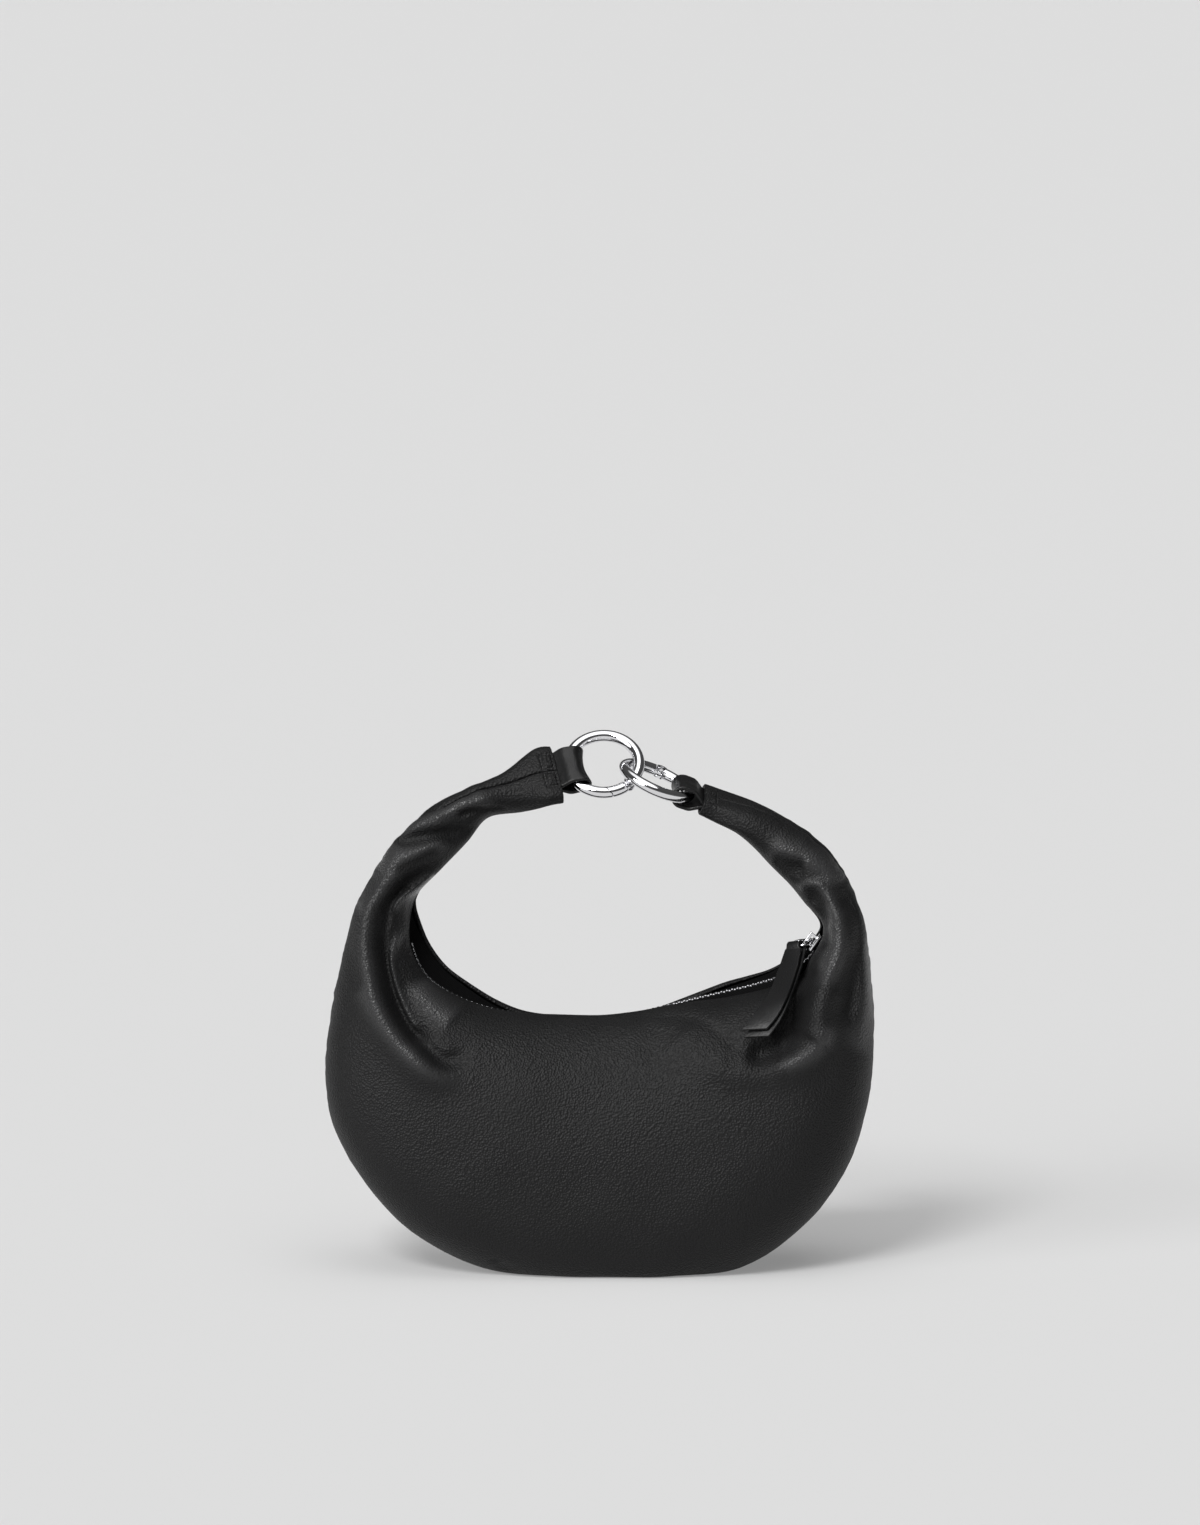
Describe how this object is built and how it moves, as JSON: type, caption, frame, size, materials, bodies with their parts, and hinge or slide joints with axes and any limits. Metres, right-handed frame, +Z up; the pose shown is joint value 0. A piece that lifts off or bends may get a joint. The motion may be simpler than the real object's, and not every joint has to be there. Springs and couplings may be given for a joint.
{
  "type": "ring handle bag",
  "caption": "Small soft crescent handbag whose two leather arms rise to loops joined by interlocked spring rings, with a zip and a leather pull tab in the mouth.",
  "frame": {"origin": "middle of the bounding box on the floor that the bag stands on", "axes": "+Z up, +X to the right seen from the front, +Y to the back"},
  "size_m": [0.2623, 0.0962, 0.2571],
  "materials": {
    "leather": "soft black grained leather, satin",
    "tape": "black woven zip tape, matt",
    "metal": "polished silver-coloured plating"
  },
  "bodies": {
    "bag": {"front_panel": "leather", "back_panel": "leather", "zip_tape_front": "tape", "zip_tape_back": "tape", "zip_chain": "metal", "zip_slider": "metal", "zip_link": "metal", "pull_tab": "leather", "left_ring": "metal", "left_gate_pin": "metal", "right_ring": "metal", "right_gate_pin": "metal", "left_loop": "leather", "right_loop": "leather"},
    "left_gate": {"left_gate": "metal"},
    "right_gate": {"right_gate": "metal"}
  },
  "joints": [
    {"name": "left_gate_hinge", "type": "hinge", "parent": "bag", "child": "left_gate", "pos_m": [0.01407, -0.00443, 0.23417], "axis": [0, 0.7193, -0.6947], "range_deg": [0, 30], "stiffness_Nm_per_rad": 0.002, "springref_deg": -28.65},
    {"name": "right_gate_hinge", "type": "hinge", "parent": "bag", "child": "right_gate", "pos_m": [0.0287, 0.01723, 0.23659], "axis": [0.3955, -0.1405, 0.9076], "range_deg": [0, 30], "stiffness_Nm_per_rad": 0.002, "springref_deg": -28.65}
  ]
}
